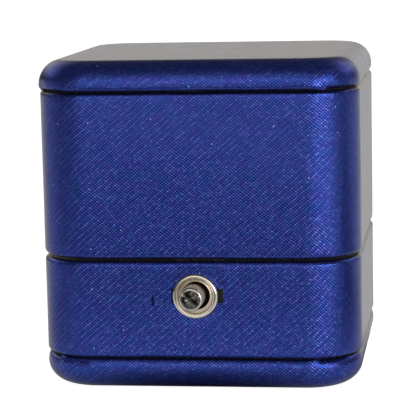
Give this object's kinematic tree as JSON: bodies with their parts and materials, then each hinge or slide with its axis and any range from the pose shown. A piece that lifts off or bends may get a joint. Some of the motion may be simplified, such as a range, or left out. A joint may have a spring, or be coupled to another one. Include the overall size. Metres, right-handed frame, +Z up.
{
  "type": "ring box",
  "caption": "Square ring box with rounded corners, covered in blue leatherette, with a hinged lid, a push-button latch at the front and padded rolls that hold a ring.",
  "frame": {"origin": "centre of the underside, on the surface that the box stands on", "axes": "+Z up, -Y out of the front wall that carries the button, +Y towards the hinge, +X to the right of someone facing the button"},
  "size_m": [0.065, 0.0708, 0.0665],
  "materials": {
    "leatherette": "satin metallic blue with a fine diagonal twill grain",
    "velvet": "short-pile navy velvet",
    "velvet_pad": "short-pile navy velvet over foam",
    "fibreboard": "raw fibreboard",
    "foam": "open-cell foam",
    "bright_nickel": "polished nickel plate",
    "black_plastic": "moulded black plastic",
    "steel_screw": "plain steel",
    "spring_steel": "bare spring steel"
  },
  "bodies": {
    "base": {"bottom_board": "fibreboard", "bottom_cover": "leatherette", "base_frame": "fibreboard", "base_cover": "leatherette", "base_liner": "velvet", "inner_collar": "velvet", "foam_block": "foam", "insert_card": "velvet", "ring_roll_front": "velvet_pad", "ring_roll_rear": "velvet_pad", "latch_bezel": "bright_nickel", "latch_plate": "black_plastic", "latch_plate_screws": "steel_screw", "catch_leaf": "spring_steel", "catch_rivets": "steel_screw", "button_spring": "spring_steel", "hinge_leaf_base": "bright_nickel", "hinge_pin": "bright_nickel", "hinge_spring": "spring_steel", "hinge_screws_base": "steel_screw"},
    "button": {"push_button": "bright_nickel"},
    "lid": {"lid_frame": "fibreboard", "lid_cover": "leatherette", "lid_lining": "velvet", "lid_pad": "velvet_pad", "strike_plate": "bright_nickel", "strike_screws": "steel_screw", "hinge_leaf_lid": "bright_nickel", "hinge_screws_lid": "steel_screw", "top_board": "fibreboard", "top_foam": "foam", "top_cover": "leatherette"}
  },
  "joints": [
    {"name": "lid_hinge", "type": "hinge", "parent": "base", "child": "lid", "pos_m": [0, 0.0325, 0.02675], "axis": [-1, 0, 0], "range_deg": [0, 97], "deforming": ["hinge_spring", "catch_leaf"]},
    {"name": "button_press", "type": "slide", "parent": "base", "child": "button", "axis": [0, 1, 0], "range_m": [0, 0.0012], "stiffness_N_per_m": 400, "springref_m": -0.0006, "deforming": ["button_spring", "catch_leaf"]}
  ]
}
